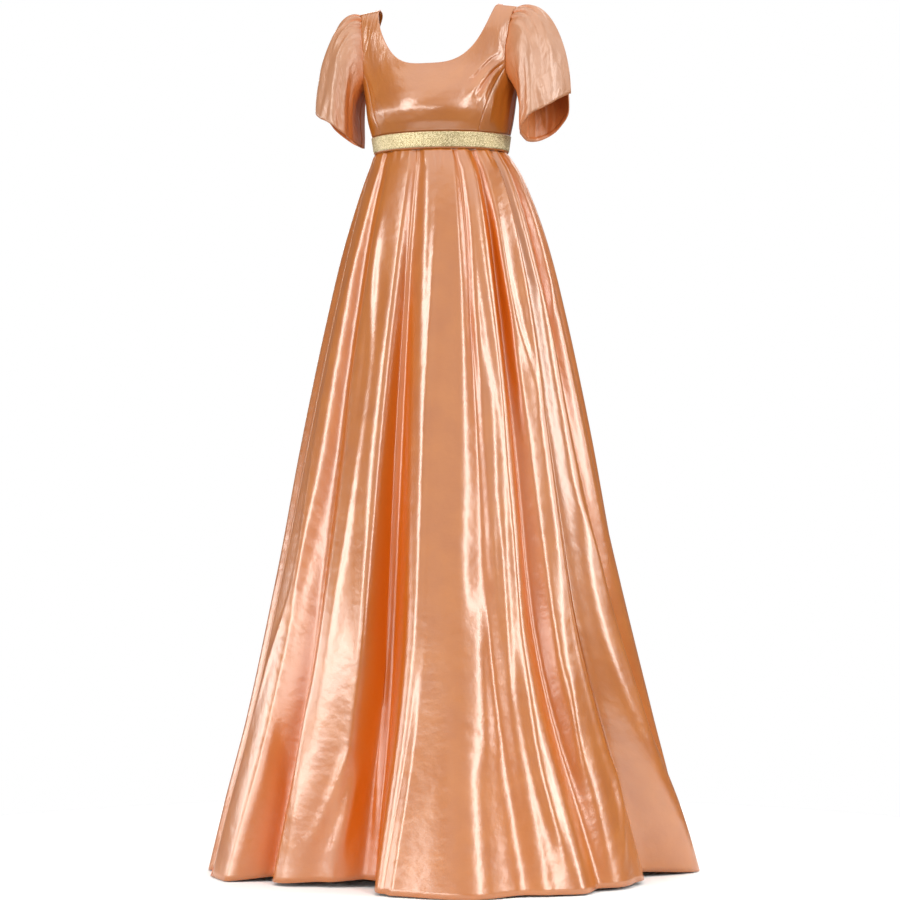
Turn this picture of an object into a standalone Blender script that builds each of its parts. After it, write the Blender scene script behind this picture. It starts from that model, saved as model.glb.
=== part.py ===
"""A worn empire-line gown, hollow and open: bodice, petal sleeves, ribboned waistband and gathered skirt.

Metres, +Z up. The origin is between the shoulders, where the wearer carries the gown. The front faces -Y.
"Drop" is the distance below the shoulders. "Turn" is the angle round the body in degrees: 0 at the
centre front, 90 at the wearer's left side (+X), 180 at the centre back.
"""

from bisect import bisect_right
from math import asin, cos, degrees, pi, radians, sin, sqrt

import bmesh
import bpy
from mathutils import Vector

CLOTH = 0.0015
SEAM_GAP = 0.0005
SHARP_EDGE = 50.0
# small steps for reading a surface's slope: metres of drop, degrees of turn, fold lines, share of a sleeve
STEP = 1e-4
TURN_STEP = 0.05
LINE_STEP = 0.01
SLEEVE_TURN_STEP = 0.2
SHARE_STEP = 0.001
TINY = 1e-6

HEM_DROP = 1.455
BAND_TOP = 0.219
BAND_BOTTOM = 0.2475
NECK_HALF_WIDTH = 0.104
NECK_FRONT_DROP = 0.103
NECK_BACK_DROP = 0.104
NECK_BACK_SPREAD = 0.016
NECK_SPREAD_DROP = 0.030
# front, back: how square the neckline is at its sides and its floor
NECK_SIDE_POWERS = (0.625, 0.30)
NECK_FLOOR_POWERS = (1.67, 1.2)
SHOULDER_SLOPE = 0.16
ARMHOLE_DROP = 0.138
PRINCESS_WAIST_TURN = 46.0
PRINCESS_ARMHOLE_TURN = 125.0

# drop, half width, middle's y, front depth, back depth
TORSO = (
    (0.0000, 0.1720, -0.014, 0.0000, 0.0000),
    (0.0120, 0.1700, -0.013, 0.0250, 0.0290),
    (0.0400, 0.1650, -0.010, 0.0450, 0.0560),
    (0.0750, 0.1570, -0.006, 0.0600, 0.0730),
    (0.1050, 0.1460, -0.003, 0.0745, 0.0830),
    (0.1300, 0.1360, -0.001, 0.0920, 0.0890),
    (0.1550, 0.1300, 0.000, 0.1065, 0.0920),
    (0.1780, 0.1268, 0.000, 0.1120, 0.0925),
    (0.2000, 0.1230, 0.000, 0.1060, 0.0915),
    (0.2190, 0.1186, 0.000, 0.0960, 0.0905),
    (0.2475, 0.1145, 0.000, 0.0905, 0.0880),
)

# turn round the armhole (0 at the shoulder, 90 in front or behind, 180 under the arm), front turn, back turn
ARMHOLE = (
    (0.0, 54.8, 54.8),
    (45.0, 51.6, 56.5),
    (90.0, 52.5, 60.5),
    (120.0, 58.6, 66.0),
    (150.0, 69.5, 75.0),
    (180.0, 90.0, 90.0),
)

# drop, half width, front reach, back reach and middle's x of the skirt's outermost form
SKIRT = (
    (0.2475, 0.1145, 0.0905, 0.0880, 0.0000),
    (0.2880, 0.1350, 0.1060, 0.1080, 0.0050),
    (0.3900, 0.1690, 0.1340, 0.1500, 0.0080),
    (0.5250, 0.2020, 0.1620, 0.1920, 0.0085),
    (0.6600, 0.2310, 0.1880, 0.2300, 0.0085),
    (0.9300, 0.2850, 0.2380, 0.3080, 0.0090),
    (1.1990, 0.3440, 0.2900, 0.3900, 0.0110),
    (1.3340, 0.3810, 0.3240, 0.4340, 0.0125),
    (1.4550, 0.4120, 0.3550, 0.4650, 0.0140),
)

# The drops of the folds' four readings: waist, hip, knee and hem.
FOLD_DROPS = (0.2475, 0.4900, 0.9800, 1.4550)
# Each row is one crest or valley: its turn at the four drops, then how far it lies out from the
# skirt's outermost form there, in mm.
FOLDS = (
    # turn at waist, hip, knee, hem; out at waist, hip, knee, hem
    (-62.0, -56.0, -58.0, -61.0, 0.0, 0.0, 0.0, 0.0),
    (-46.0, -48.0, -46.0, -50.0, 0.0, 0.0, 0.0, 0.0),
    (-40.0, -38.0, -35.0, -43.0, -4.0, -14.0, -28.0, -72.0),
    (-30.0, -25.0, -26.0, -35.0, 0.0, 0.0, -2.0, -42.0),
    (-14.0, -13.5, -13.0, -23.0, 0.0, 0.0, -4.0, -80.0),
    (-8.0, -8.0, -7.5, -13.0, -4.0, -14.0, -46.0, -118.0),
    (-6.5, -6.0, -5.5, -9.5, -4.0, -15.0, -48.0, -116.0),
    (4.0, 4.5, 6.0, -1.5, 0.0, -1.0, -2.0, -30.0),
    (12.0, 9.5, 9.5, 2.0, 0.0, 0.0, 0.0, -18.0),
    (20.0, 20.0, 18.0, 19.0, 0.0, 0.0, 0.0, 0.0),
    (25.0, 26.0, 27.0, 33.0, -3.0, -8.0, -9.0, -28.0),
    (30.0, 30.0, 32.0, 40.0, 0.0, -1.0, -1.0, -22.0),
    (34.5, 37.0, 37.0, 47.0, 0.0, 0.0, 0.0, -18.0),
    (41.0, 42.0, 43.0, 56.0, -6.0, -15.0, -20.0, -46.0),
    (47.0, 48.0, 50.5, 63.0, -1.0, 0.0, 0.0, -40.0),
    (58.0, 57.5, 57.0, 75.0, 0.0, 0.0, -3.0, -54.0),
    (62.0, 61.5, 62.0, 92.0, -5.0, -12.0, -20.0, -88.0),
    (68.0, 70.0, 76.0, 109.0, 0.0, 0.0, 0.0, 6.0),
    (76.0, 77.0, 87.0, 117.0, -7.0, -15.0, -16.0, -42.0),
    (85.0, 87.0, 98.0, 124.0, 0.0, 0.0, 0.0, 0.0),
    (95.0, 97.0, 108.0, 131.0, -6.0, -11.0, -26.0, -62.0),
    (106.0, 108.0, 118.0, 139.0, 0.0, 0.0, 0.0, 0.0),
    (116.0, 118.0, 127.0, 146.0, -6.0, -12.0, -24.0, -66.0),
    (128.0, 130.0, 138.0, 155.0, 0.0, 0.0, 0.0, 0.0),
    (139.0, 141.0, 148.0, 163.0, -6.0, -10.0, -20.0, -52.0),
    (151.0, 152.0, 158.0, 170.0, 0.0, 0.0, 0.0, 0.0),
    (162.0, 163.0, 168.0, 178.0, -7.0, -13.0, -30.0, -76.0),
    (173.0, 174.0, 179.0, 187.0, 0.0, 0.0, 0.0, 0.0),
    (184.0, 185.0, 189.0, 195.0, -6.0, -10.0, -18.0, -46.0),
    (195.0, 196.0, 200.0, 204.0, 0.0, 0.0, 0.0, 0.0),
    (206.0, 207.0, 210.0, 213.0, -6.0, -12.0, -28.0, -70.0),
    (217.0, 218.0, 221.0, 223.0, 0.0, 0.0, 0.0, 0.0),
    (228.0, 229.0, 231.0, 232.0, -5.0, -10.0, -20.0, -54.0),
    (240.0, 241.0, 243.0, 243.0, 0.0, 0.0, 0.0, 0.0),
    (251.0, 252.0, 254.0, 253.0, -5.0, -10.0, -24.0, -60.0),
    (262.0, 264.0, 265.0, 264.0, 0.0, 0.0, 0.0, 0.0),
    (272.0, 275.0, 275.0, 274.0, -5.0, -8.0, -18.0, -44.0),
    (282.0, 286.0, 286.0, 284.0, 0.0, 0.0, 0.0, 0.0),
    (290.0, 295.0, 294.0, 292.0, -4.0, -6.0, -12.0, -28.0),
)
HEM_LIFT = 0.10
COLUMNS_PER_FOLD = 3
SKIRT_ROWS = 10
# Above 1, the rows crowd together towards the waist.
ROW_CROWDING = 1.15
# The folds that the skirt's seams follow: the wearer's right side, left side and centre back.
RIGHT_SEAM, LEFT_SEAM, BACK_SEAM = 0, 16, 27

# turn round the sleeve (0 at its top, 90 in front, 180 under the arm, 270 behind), hem x, y and drop,
# then the way that the cloth leaves the armhole: x, y, z
SLEEVE = (
    (0.0, 0.2215, 0.000, 0.152, 0.950, 0.02, 0.33),
    (45.0, 0.2050, -0.046, 0.172, 0.850, -0.42, 0.25),
    (90.0, 0.1680, -0.066, 0.196, 0.760, -0.60, 0.05),
    (135.0, 0.1490, -0.042, 0.218, 0.550, -0.35, -0.50),
    (180.0, 0.1470, 0.014, 0.228, 0.400, 0.00, -0.85),
    (225.0, 0.1560, 0.050, 0.224, 0.550, 0.35, -0.50),
    (270.0, 0.1800, 0.062, 0.210, 0.760, 0.60, 0.05),
    (315.0, 0.2100, 0.044, 0.182, 0.850, 0.42, 0.25),
    (360.0, 0.2215, 0.000, 0.152, 0.950, 0.02, 0.33),
)
# name, side of the body, how far the cap puffs out, and how much lower and further out its outer hem hangs
SLEEVES = (
    ("left", 1.0, 0.057, 0.000, 0.005),
    ("right", -1.0, 0.041, 0.008, 0.002),
)
SLEEVE_START_OUT = 0.0021
SLEEVE_HANG = 0.42
CAP_GATHERS = 9
CAP_HALF_TURN = 62.0
CAP_GATHER_DEPTH = 0.0021
CAP_GATHER_LENGTH = 0.35
# The gathers fade out over this last share of the cap.
CAP_FADE = 0.25
# Cap columns, counted from the top of the arm, at the front petal's tip, at the back petal's tip, and
# where the gathered cap ends. Both petals share them, so that the layers stay the same way apart.
FRONT_TIP, BACK_TIP, CAP_END = 13, 9, 14
CAP_COLUMN = 2 * CAP_HALF_TURN / (3 * CAP_GATHERS)
ARM_COLUMNS = 11
PETAL_TIP = 0.12
PETAL_UNDERLAY = 0.0040
UNDERLAY_STARTS, UNDERLAY_FULL = 252.0, 296.0
SLEEVE_ROWS = 7

RIBBON_TOP = 0.2200
RIBBON_BOTTOM = 0.2447
RIBBON = 0.0011
RIBBON_GAP = 0.0004
BAND_COLUMNS = 56

BODICE_ROWS = 6
PRINCESS_ROWS = 5
FRONT_BAND_COLUMNS = 7
SIDE_COLUMNS = 5
BACK_BAND_COLUMNS = 8
FRONT_ARMHOLE_COLUMNS = 9
BACK_ARMHOLE_COLUMNS = 13


def clear_scene():
    for obj in list(bpy.data.objects):
        bpy.data.objects.remove(obj, do_unlink=True)


def satin(name):
    """Woven satin, orange to peach: a smooth face with a soft shine."""
    return cloth_finish(name, (0.63, 0.28, 0.14, 1.0), 0.36)


def pale_satin(name):
    """The sleeves' paler, duller satin."""
    return cloth_finish(name, (0.72, 0.43, 0.30, 1.0), 0.45)


def glitter(name):
    """Ribbon closely set with greenish-gold glitter."""
    return cloth_finish(name, (0.61, 0.51, 0.24, 1.0), 0.4, metallic=0.6)


def cloth_finish(name, colour, roughness, metallic=0.0):
    material = bpy.data.materials.new(name)
    material.use_nodes = True
    shader = material.node_tree.nodes["Principled BSDF"]
    shader.inputs["Base Color"].default_value = colour
    shader.inputs["Metallic"].default_value = metallic
    shader.inputs["Roughness"].default_value = roughness
    return material


def lerp(a, b, share):
    return a + (b - a) * share


def smoothstep(share):
    share = min(1.0, max(0.0, share))
    return share * share * (3.0 - 2.0 * share)


def smooth_curve(knots, values, at):
    """A smooth curve through the values at the knots, with no overshoot."""
    at = min(max(at, knots[0]), knots[-1])
    i = min(bisect_right(knots, at) - 1, len(knots) - 2)

    def slope(k):
        return (values[k + 1] - values[k]) / (knots[k + 1] - knots[k])

    def tangent(k):
        if k == 0:
            return slope(0)
        if k == len(knots) - 1:
            return slope(k - 1)
        before, after = slope(k - 1), slope(k)
        return 0.0 if before * after <= 0.0 else 2.0 * before * after / (before + after)

    span = knots[i + 1] - knots[i]
    s = (at - knots[i]) / span
    start = values[i] * (1 + 2 * s) * (1 - s) ** 2 + tangent(i) * span * s * (1 - s) ** 2
    end = values[i + 1] * s * s * (3 - 2 * s) + tangent(i + 1) * span * s * s * (s - 1)
    return start + end


def table_curve(table, column, at):
    return smooth_curve([row[0] for row in table], [row[column] for row in table], at)


def torso_size(column, drop):
    """One of the torso's sizes. It is smooth in the root of the drop, so that the shoulders are round."""
    return smooth_curve([sqrt(row[0]) for row in TORSO], [row[column] for row in TORSO], sqrt(drop))


def torso_point(turn, drop):
    """A point of the bodice's middle surface. The front and back sheets meet in a round shoulder."""
    angle = radians(turn)
    depth = torso_size(3 if cos(angle) > 0.0 else 4, drop)
    x = torso_size(1, drop) * sin(angle)
    slope = SHOULDER_SLOPE * max(0.0, abs(x) - NECK_HALF_WIDTH) * (1.0 - smoothstep(drop / ARMHOLE_DROP))
    return Vector((x, torso_size(2, drop) - depth * cos(angle), -drop - slope))


def torso_normal(turn, drop):
    root = max(sqrt(drop), 4 * STEP)
    across = torso_point(turn + TURN_STEP, root * root) - torso_point(turn - TURN_STEP, root * root)
    down = torso_point(turn, (root + STEP) ** 2) - torso_point(turn, (root - STEP) ** 2)
    return down.cross(across).normalized()


def neck_edge(share, drop, behind):
    """Turn and drop of the neckline, from the centre (0) to the shoulder (1)."""
    angle = radians(90.0 * share)
    low = max(drop * max(cos(angle), 0.0) ** NECK_FLOOR_POWERS[behind], TINY)
    x = NECK_HALF_WIDTH * sin(angle) ** NECK_SIDE_POWERS[behind]
    if behind:
        x *= 1.0 + NECK_BACK_SPREAD / NECK_HALF_WIDTH * smoothstep(low / NECK_SPREAD_DROP)
    turn = degrees(asin(x / torso_size(1, low)))
    return (180.0 - turn if behind else turn), low


def armhole_edge(round_turn, behind):
    """Turn and drop of the armhole, from the shoulder (0) to the underarm (180)."""
    low = max(ARMHOLE_DROP * (1.0 - cos(radians(round_turn))) / 2.0, TINY)
    turn = table_curve(ARMHOLE, 2 if behind else 1, round_turn)
    return (180.0 - turn if behind else turn), low


def stretch(start, end, count):
    """Shares of the way from start to end, without the end."""
    return [lerp(start, end, k / count) for k in range(count)]


def princess_seam():
    """Turn and drop down the seam from the armhole to the waistband."""
    top_turn, top = armhole_edge(PRINCESS_ARMHOLE_TURN, False)
    shares = stretch(0.0, 1.0, PRINCESS_ROWS) + [1.0]
    return [(lerp(top_turn, PRINCESS_WAIST_TURN, share), lerp(top, BAND_TOP, share)) for share in shares]


def front_outer_edge():
    """The middle front's edge from the centre of the waistband, up the princess seam and the armhole."""
    band = [(turn, BAND_TOP) for turn in stretch(0.0, PRINCESS_WAIST_TURN, FRONT_BAND_COLUMNS)]
    armhole = [armhole_edge(t, False) for t in stretch(PRINCESS_ARMHOLE_TURN, 0.0, FRONT_ARMHOLE_COLUMNS)]
    return band + princess_seam()[:0:-1] + armhole + [armhole_edge(0.0, False)]


def back_outer_edge():
    """The back's edge from the centre of the waistband, up the side seam and the armhole."""
    band = [(turn, BAND_TOP) for turn in stretch(180.0, 90.0, BACK_BAND_COLUMNS)]
    side = [(90.0, drop) for drop in stretch(BAND_TOP, ARMHOLE_DROP, PRINCESS_ROWS)]
    armhole = [armhole_edge(t, True) for t in stretch(180.0, 0.0, BACK_ARMHOLE_COLUMNS)]
    return band + side + armhole + [armhole_edge(0.0, True)]


def torso_column(top, bottom, rows):
    """A column of torso points with their normals between two places, each given as turn and drop."""
    column = []
    for k in range(rows + 1):
        turn = lerp(top[0], bottom[0], k / rows)
        drop = lerp(sqrt(top[1]), sqrt(bottom[1]), k / rows) ** 2
        column.append((torso_point(turn, drop), torso_normal(turn, drop)))
    return column


def mirrored(grid):
    flip = Vector((-1.0, 1.0, 1.0))
    return [[(point * flip, normal * flip) for point, normal in column] for column in reversed(grid)]


def neck_to_edge(edge, neck_drop, behind):
    last = len(edge) - 1
    necks = [neck_edge(i / last, neck_drop, behind) for i in range(len(edge))]
    return [torso_column(neck, place, BODICE_ROWS) for neck, place in zip(necks, edge)]


def level(normal):
    """The normal with no tilt, for an edge that meets its neighbour on a level seam."""
    return Vector((normal.x, normal.y, 0.0)).normalized()


def pulled_in(grid, by):
    """The grid with each of its four sides moved in by this much along the cloth."""
    columns, rows = len(grid), len(grid[0])
    points = [[point.copy() for point, _ in column] for column in grid]

    def at(i, k):
        return grid[i][k][0]

    def move(i, k, along_from, along_to, inner):
        normal = grid[i][k][1]
        inward = normal.cross(along_to - along_from).normalized()
        if inward.dot(inner - at(i, k)) < 0.0:
            inward.negate()
        points[i][k] += inward * by

    for i in range(columns):
        before, after = max(i - 1, 0), min(i + 1, columns - 1)
        for k, inner in ((0, 1), (rows - 1, rows - 2)):
            move(i, k, at(before, k), at(after, k), at(i, inner))
    for k in range(rows):
        before, after = max(k - 1, 0), min(k + 1, rows - 1)
        for i, inner in ((0, 1), (columns - 1, columns - 2)):
            move(i, k, at(i, before), at(i, after), at(inner, k))
    return [[(points[i][k], grid[i][k][1]) for k in range(rows)] for i in range(columns)]


def wall(name, grid, material, thickness=CLOTH, ring=False):
    """A closed wall round a grid of points and normals, by column. A ring's last column meets its first."""
    bm = bmesh.new()
    outer, inner = (
        [[bm.verts.new(point + normal * thickness * side) for point, normal in column] for column in grid]
        for side in (0.5, -0.5)
    )
    count, last = len(grid), len(grid[0]) - 1
    pairs = [(i, (i + 1) % count) for i in range(count if ring else count - 1)]
    for i, j in pairs:
        for k in range(last):
            for side in (outer, inner):
                bm.faces.new((side[i][k], side[j][k], side[j][k + 1]))
                bm.faces.new((side[i][k], side[j][k + 1], side[i][k + 1]))
        for k in (0, last):
            bm.faces.new((outer[i][k], inner[i][k], inner[j][k], outer[j][k]))
    for i in () if ring else (0, count - 1):
        for k in range(last):
            bm.faces.new((outer[i][k], outer[i][k + 1], inner[i][k + 1], inner[i][k]))
    bmesh.ops.recalc_face_normals(bm, faces=bm.faces)
    mesh = bpy.data.meshes.new(name)
    bm.to_mesh(mesh)
    bm.free()
    mesh.materials.append(material)
    mesh.shade_smooth()
    mesh.set_sharp_from_angle(angle=radians(SHARP_EDGE))
    piece = bpy.data.objects.new(name, mesh)
    bpy.context.scene.collection.objects.link(piece)
    return piece


def with_level_row(grid, row):
    """The grid with the normals of one row made level."""
    for column in grid:
        point, normal = column[row]
        column[row] = (point, level(normal))
    return grid


def make_centre_front():
    half = neck_to_edge(front_outer_edge(), NECK_FRONT_DROP, False)
    grid = mirrored(half)[:-1] + half
    middle = len(half) - 1
    for i in range(middle - FRONT_BAND_COLUMNS, middle + FRONT_BAND_COLUMNS + 1):
        point, normal = grid[i][-1]
        grid[i][-1] = (point, level(normal))
    wall("bodice_centre_front", pulled_in(grid, SEAM_GAP / 2), satin("centre front satin"))


def make_side_fronts():
    """Each from the princess seam (0) to the side seam (1), with its armhole edge on top."""
    seam = princess_seam()
    grid = []
    for share in stretch(0.0, 1.0, SIDE_COLUMNS) + [1.0]:
        top_turn, top = armhole_edge(lerp(PRINCESS_ARMHOLE_TURN, 180.0, share), False)
        column = []
        for k, (seam_turn, seam_drop) in enumerate(seam):
            down = (seam_drop - seam[0][1]) / (BAND_TOP - seam[0][1])
            turn = lerp(top_turn, lerp(PRINCESS_WAIST_TURN, 90.0, share), down)
            drop = lerp(top, BAND_TOP, down)
            column.append((torso_point(turn, drop), torso_normal(turn, drop)))
        grid.append(column)
    for side, made in (("left", grid), ("right", mirrored(grid))):
        made = pulled_in(with_level_row(made, -1), SEAM_GAP / 2)
        wall(f"bodice_side_front_{side}", made, satin(f"{side} side front satin"))


def make_backs():
    half = neck_to_edge(back_outer_edge(), NECK_BACK_DROP, True)
    for column in half[: BACK_BAND_COLUMNS + 1]:
        point, normal = column[-1]
        column[-1] = (point, level(normal))
    for side, made in (("left", half), ("right", mirrored(half))):
        wall(f"bodice_back_{side}", pulled_in(made, SEAM_GAP / 2), satin(f"{side} back satin"))


def band_ring(top, bottom, out):
    """A level ring round the waistband's form, moved out by this much."""
    ring = []
    for i in range(BAND_COLUMNS):
        turn = 360.0 * i / BAND_COLUMNS
        normals = [level(torso_normal(turn, drop)) for drop in (top, bottom)]
        ring.append([(torso_point(turn, drop) + n * out, n) for drop, n in zip((top, bottom), normals)])
    return ring


def make_waistband():
    ring = band_ring(BAND_TOP + SEAM_GAP / 2, BAND_BOTTOM - SEAM_GAP / 2, 0.0)
    wall("waistband", ring, satin("waistband satin"), ring=True)


def make_gold_trim():
    out = CLOTH / 2 + RIBBON_GAP + RIBBON / 2
    ring = band_ring(RIBBON_TOP, RIBBON_BOTTOM, out)
    wall("gold_trim", ring, glitter("gold glitter ribbon"), RIBBON, ring=True)


def fold_values(line, drop):
    """A crest's or valley's turn, and how far out it lies, in metres. Lines past the last start again."""
    row = FOLDS[line % len(FOLDS)]
    turn = smooth_curve(FOLD_DROPS, row[:4], drop) + 360.0 * (line // len(FOLDS))
    return turn, smooth_curve(FOLD_DROPS, row[4:], drop) / 1000.0


def skirt_point(line, drop):
    """A point of the skirt's middle surface. Whole lines are crests and valleys; the cloth rolls between."""
    below = int(line // 1)
    share = line - below
    (turn_a, out_a), (turn_b, out_b) = fold_values(below, drop), fold_values(below + 1, drop)
    angle = radians(lerp(turn_a, turn_b, share))
    out = lerp(out_a, out_b, smoothstep(share))
    width = table_curve(SKIRT, 1, drop)
    reach = table_curve(SKIRT, 2 if cos(angle) > 0.0 else 3, drop)
    place = Vector((table_curve(SKIRT, 4, drop) + width * sin(angle), -reach * cos(angle), 0.0))
    outward = Vector((reach * sin(angle), -width * cos(angle), 0.0)).normalized()
    lift = HEM_LIFT * -out * (drop - BAND_BOTTOM) / (HEM_DROP - BAND_BOTTOM)
    return place + outward * out + Vector((0.0, 0.0, lift - drop))


def skirt_normal(line, drop):
    drop = min(max(drop, BAND_BOTTOM + STEP), HEM_DROP - STEP)
    across = skirt_point(line + LINE_STEP, drop) - skirt_point(line - LINE_STEP, drop)
    down = skirt_point(line, drop + STEP) - skirt_point(line, drop - STEP)
    return down.cross(across).normalized()


def make_skirt_panel(name, first, last):
    drops = [lerp(BAND_BOTTOM, HEM_DROP, (k / SKIRT_ROWS) ** ROW_CROWDING) for k in range(SKIRT_ROWS + 1)]
    lines = [first + i / COLUMNS_PER_FOLD for i in range((last - first) * COLUMNS_PER_FOLD + 1)]
    grid = [[(skirt_point(line, drop), skirt_normal(line, drop)) for drop in drops] for line in lines]
    wall(name, pulled_in(with_level_row(grid, 0), SEAM_GAP / 2), satin(f"{name} satin"))


def make_skirt():
    make_skirt_panel("skirt_front", RIGHT_SEAM, LEFT_SEAM)
    make_skirt_panel("skirt_back_left", LEFT_SEAM, BACK_SEAM)
    make_skirt_panel("skirt_back_right", BACK_SEAM, RIGHT_SEAM + len(FOLDS))


def sleeve_point(form, turn, share):
    """A point of the left sleeve's middle surface, from the armhole (0) to the full hem (1)."""
    puff, lower, further = form
    turn %= 360.0
    outer_arm = (1.0 + cos(radians(turn))) / 2.0
    start = torso_point(*armhole_edge(min(turn, 360.0 - turn), turn > 180.0))
    hem_x, hem_y, hem_drop, *way = (table_curve(SLEEVE, column, turn) for column in range(1, 7))
    way = Vector(way)
    hem = Vector((hem_x + further * outer_arm, hem_y, -hem_drop - lower * outer_arm))
    start.x += SLEEVE_START_OUT
    out = start + way * puff
    above = hem + Vector((0.0, 0.0, SLEEVE_HANG * (hem - start).length))
    left = 1.0 - share
    point = start * left**3 + out * 3 * left**2 * share + above * 3 * left * share**2 + hem * share**3
    from_top = min(turn, 360.0 - turn)
    edge = smoothstep((CAP_HALF_TURN - from_top) / (CAP_FADE * CAP_HALF_TURN))
    wave = (1.0 - cos(pi * CAP_GATHERS * from_top / CAP_HALF_TURN)) / 2.0
    depth = CAP_GATHER_DEPTH * edge * wave * (1.0 - smoothstep(share / CAP_GATHER_LENGTH))
    return point - Vector((0.0, -sin(radians(turn)), cos(radians(turn)))) * depth


def sleeve_normal(form, turn, share):
    share = min(max(share, 2 * SHARE_STEP), 1.0 - 2 * SHARE_STEP)
    step = SLEEVE_TURN_STEP
    across = sleeve_point(form, turn + step, share) - sleeve_point(form, turn - step, share)
    down = sleeve_point(form, turn, share + SHARE_STEP) - sleeve_point(form, turn, share - SHARE_STEP)
    return across.cross(down).normalized()


def stretch_of_cap(first, last):
    return [k * CAP_COLUMN for k in range(first, last + 1)]


def make_petal(name, side, form, turns, tip, under):
    """A sleeve's petal. From the top of the arm to its tip, its hem runs up towards the armhole."""
    grid = []
    for turn in turns:
        into_tip = (turn - 360.0 if under else -turn) / (tip * CAP_COLUMN)
        length = lerp(1.0, PETAL_TIP, smoothstep(into_tip))
        underlay = smoothstep((turn - UNDERLAY_STARTS) / (UNDERLAY_FULL - UNDERLAY_STARTS))
        lower = PETAL_UNDERLAY * underlay * under
        column = []
        for k in range(SLEEVE_ROWS + 1):
            share = length * k / SLEEVE_ROWS
            normal = sleeve_normal(form, turn, share)
            column.append((sleeve_point(form, turn, share) - normal * lower, normal))
        grid.append(column)
    if side < 0.0:
        grid = mirrored(grid)
    wall(name, pulled_in(grid, SEAM_GAP / 2), pale_satin(f"{name} satin"))


def make_sleeves():
    """The front petal laps over the back one on top of the arm, and they are seamed under it."""
    cap_end = CAP_END * CAP_COLUMN
    front_turns = stretch_of_cap(-FRONT_TIP, CAP_END - 1) + stretch(cap_end, 180.0, ARM_COLUMNS) + [180.0]
    back_turns = stretch(180.0, 360.0 - cap_end, ARM_COLUMNS)
    back_turns += [360.0 + t for t in stretch_of_cap(-CAP_END, BACK_TIP)]
    for side_name, side, *form in SLEEVES:
        make_petal(f"sleeve_{side_name}_front_petal", side, form, front_turns, FRONT_TIP, False)
        make_petal(f"sleeve_{side_name}_back_petal", side, form, back_turns, BACK_TIP, True)


def main():
    clear_scene()
    make_centre_front()
    make_side_fronts()
    make_backs()
    make_waistband()
    make_gold_trim()
    make_sleeves()
    make_skirt()


main()
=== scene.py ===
"""Looks of the worn empire-line gown: thin satin shells with folds and creases, a glitter ribbon, a studio.

Metres, +Z up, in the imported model's frame. The gown's front faces -Y. "Drop" is the distance below the
shoulders, and "turn" the angle round the body in degrees: 0 at the centre front, 90 at the wearer's left.
"""

import bpy
import numpy as np
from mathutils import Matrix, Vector

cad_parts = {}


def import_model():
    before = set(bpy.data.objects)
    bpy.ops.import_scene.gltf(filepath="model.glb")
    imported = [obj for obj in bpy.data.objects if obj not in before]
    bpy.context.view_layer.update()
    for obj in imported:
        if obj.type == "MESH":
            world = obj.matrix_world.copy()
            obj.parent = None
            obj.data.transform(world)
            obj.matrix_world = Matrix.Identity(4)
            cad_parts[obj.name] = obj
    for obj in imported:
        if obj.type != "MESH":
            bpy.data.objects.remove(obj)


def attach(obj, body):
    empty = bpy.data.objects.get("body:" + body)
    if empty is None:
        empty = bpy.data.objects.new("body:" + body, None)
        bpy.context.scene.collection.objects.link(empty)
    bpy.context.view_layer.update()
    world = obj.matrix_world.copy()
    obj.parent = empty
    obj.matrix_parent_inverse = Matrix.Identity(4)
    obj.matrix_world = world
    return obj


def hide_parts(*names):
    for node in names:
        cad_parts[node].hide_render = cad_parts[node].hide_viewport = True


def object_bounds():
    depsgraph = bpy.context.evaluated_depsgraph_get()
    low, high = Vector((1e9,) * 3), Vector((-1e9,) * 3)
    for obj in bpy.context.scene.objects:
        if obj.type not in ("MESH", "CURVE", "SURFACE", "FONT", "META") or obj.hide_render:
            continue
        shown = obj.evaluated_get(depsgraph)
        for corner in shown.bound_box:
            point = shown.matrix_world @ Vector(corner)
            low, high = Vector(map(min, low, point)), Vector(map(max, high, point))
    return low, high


MM = 0.001
CLOTH = 0.8 * MM
TINY = 1e-6

# the cut's own sizes, as in the part's source
HEM_DROP = 1.455
BAND_TOP = 0.219
BAND_BOTTOM = 0.2475
NECK_HALF_WIDTH = 0.104
NECK_FRONT_DROP = 0.103
NECK_BACK_DROP = 0.104
NECK_BACK_SPREAD = 0.016
NECK_SPREAD_DROP = 0.030
# in front, then behind: the lower the first, the straighter the neck's sides; the second shapes its floor
NECK_SIDE_POWERS = (0.625, 0.30)
NECK_FLOOR_POWERS = (1.67, 1.2)
SHOULDER_SLOPE = 0.16
ARMHOLE_DROP = 0.138
PRINCESS_WAIST_TURN = 46.0
PRINCESS_ARMHOLE_TURN = 125.0
HEM_LIFT = 0.10
RIBBON_TOP = 0.2200
RIBBON_BOTTOM = 0.2447
RIBBON_OUT = 1.5 * MM

# drop, half width, middle's y, front depth, back depth
TORSO = np.array((
    (0.0000, 0.1720, -0.014, 0.0000, 0.0000),
    (0.0120, 0.1700, -0.013, 0.0250, 0.0290),
    (0.0400, 0.1650, -0.010, 0.0450, 0.0560),
    (0.0750, 0.1570, -0.006, 0.0600, 0.0730),
    (0.1050, 0.1460, -0.003, 0.0745, 0.0830),
    (0.1300, 0.1360, -0.001, 0.0920, 0.0890),
    (0.1550, 0.1300, 0.000, 0.1065, 0.0920),
    (0.1780, 0.1268, 0.000, 0.1120, 0.0925),
    (0.2000, 0.1230, 0.000, 0.1060, 0.0915),
    (0.2190, 0.1186, 0.000, 0.0960, 0.0905),
    (0.2475, 0.1145, 0.000, 0.0905, 0.0880),
))

# turn round the armhole (0 at the shoulder, 180 under the arm), front turn, back turn
ARMHOLE = np.array((
    (0.0, 54.8, 54.8),
    (45.0, 51.6, 56.5),
    (90.0, 52.5, 60.5),
    (120.0, 58.6, 66.0),
    (150.0, 69.5, 75.0),
    (180.0, 90.0, 90.0),
))

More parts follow.
